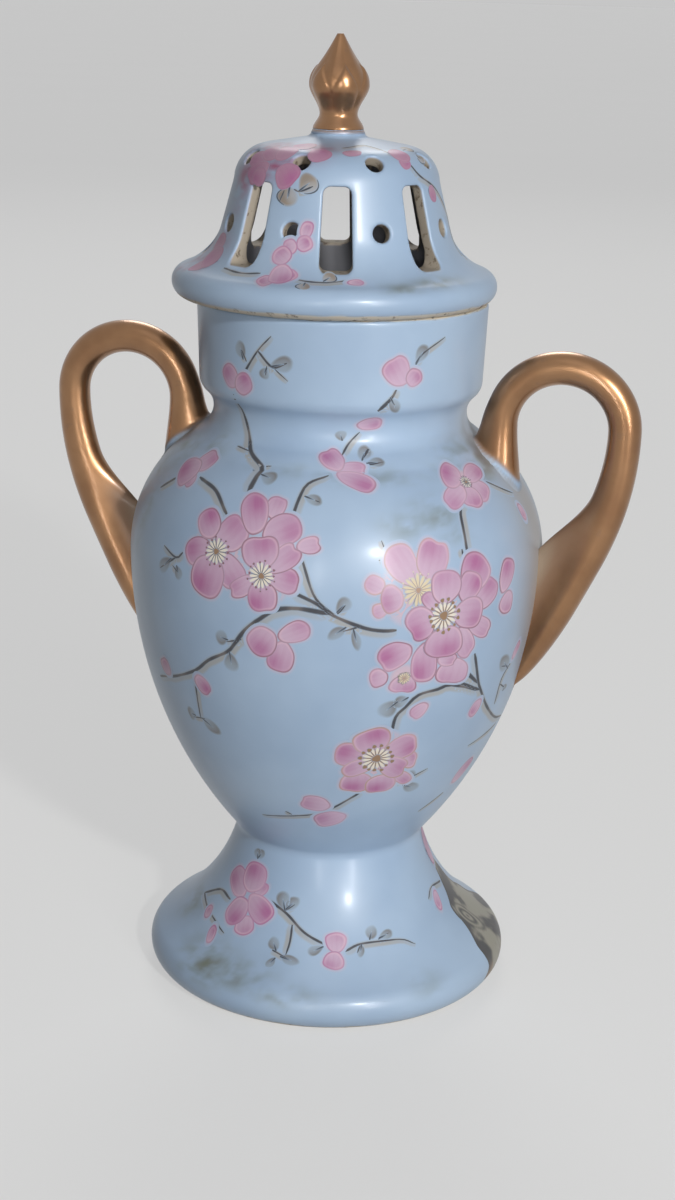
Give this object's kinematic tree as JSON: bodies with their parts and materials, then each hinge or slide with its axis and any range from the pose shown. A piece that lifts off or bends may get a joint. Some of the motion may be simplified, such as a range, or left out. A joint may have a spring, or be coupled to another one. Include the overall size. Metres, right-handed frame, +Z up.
{
  "type": "potpourri vase",
  "caption": "Handled porcelain potpourri vase on a pedestal foot, with a pierced lid that lifts off and a bud finial; holds dried petals and lets out their scent.",
  "frame": {"origin": "middle of the foot's standing ring, on the table", "axes": "+Z up the axis of the bowl, X through both handles, -Y the painted front"},
  "size_m": [0.1766, 0.1224, 0.2803],
  "materials": {
    "glaze": "glossy pale blue glaze with painted blossom sprays",
    "gilt": "worn copper-gold gilding over glaze"
  },
  "bodies": {
    "vase": {"foot": "glaze", "vase_body": "glaze", "handle_left": "gilt", "handle_right": "gilt"},
    "lid": {"lid": "glaze", "finial": "gilt"}
  },
  "joints": [
    {"name": "lid_lift", "type": "slide", "parent": "vase", "child": "lid", "axis": [0, 0, 1], "range_m": [0, 0.12]}
  ]
}
